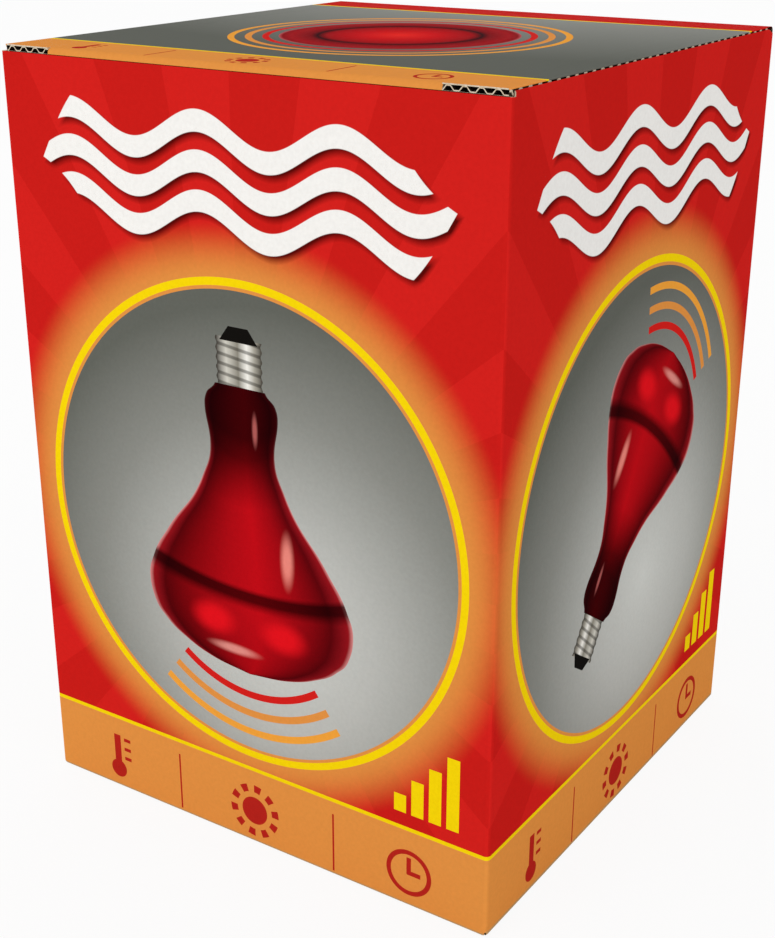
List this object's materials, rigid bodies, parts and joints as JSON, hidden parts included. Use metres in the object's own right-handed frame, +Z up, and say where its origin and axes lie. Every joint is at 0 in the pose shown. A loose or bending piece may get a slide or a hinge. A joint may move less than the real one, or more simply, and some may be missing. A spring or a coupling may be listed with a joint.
{
  "type": "printed lamp carton",
  "caption": "Closed tuck-top carton of corrugated board with a printed outside, holding a screw-cap reflector heat lamp upright; its lid swings open on the fold along the back wall.",
  "frame": {"origin": "middle of the carton's base, on the surface that it stands on", "axes": "+Z up, front wall with the tucked lid edge towards -Y, hinge fold of the lid at the back towards +Y, +X to the right seen from the front"},
  "size_m": [0.13, 0.13, 0.1858],
  "materials": {
    "printed_board": "offset printed and varnished liner on fluted board",
    "ruby_glass": "ruby stained hard glass, mirror-coated inside",
    "cap_metal": "nickel-plated rolled screw shell",
    "cap_insulator": "black pressed glass",
    "contact_metal": "tinned brass eyelet with solder"
  },
  "bodies": {
    "carton": {"carton_body": "printed_board", "lamp_glass": "ruby_glass", "lamp_cap": "cap_metal", "lamp_cap_insulator": "cap_insulator", "lamp_contact": "contact_metal"},
    "lid": {"lid": "printed_board"}
  },
  "joints": [
    {"name": "lid_hinge", "type": "hinge", "parent": "carton", "child": "lid", "pos_m": [0, 0.065, 0.1858], "axis": [-1, 0, 0], "range_deg": [0, 180]}
  ]
}
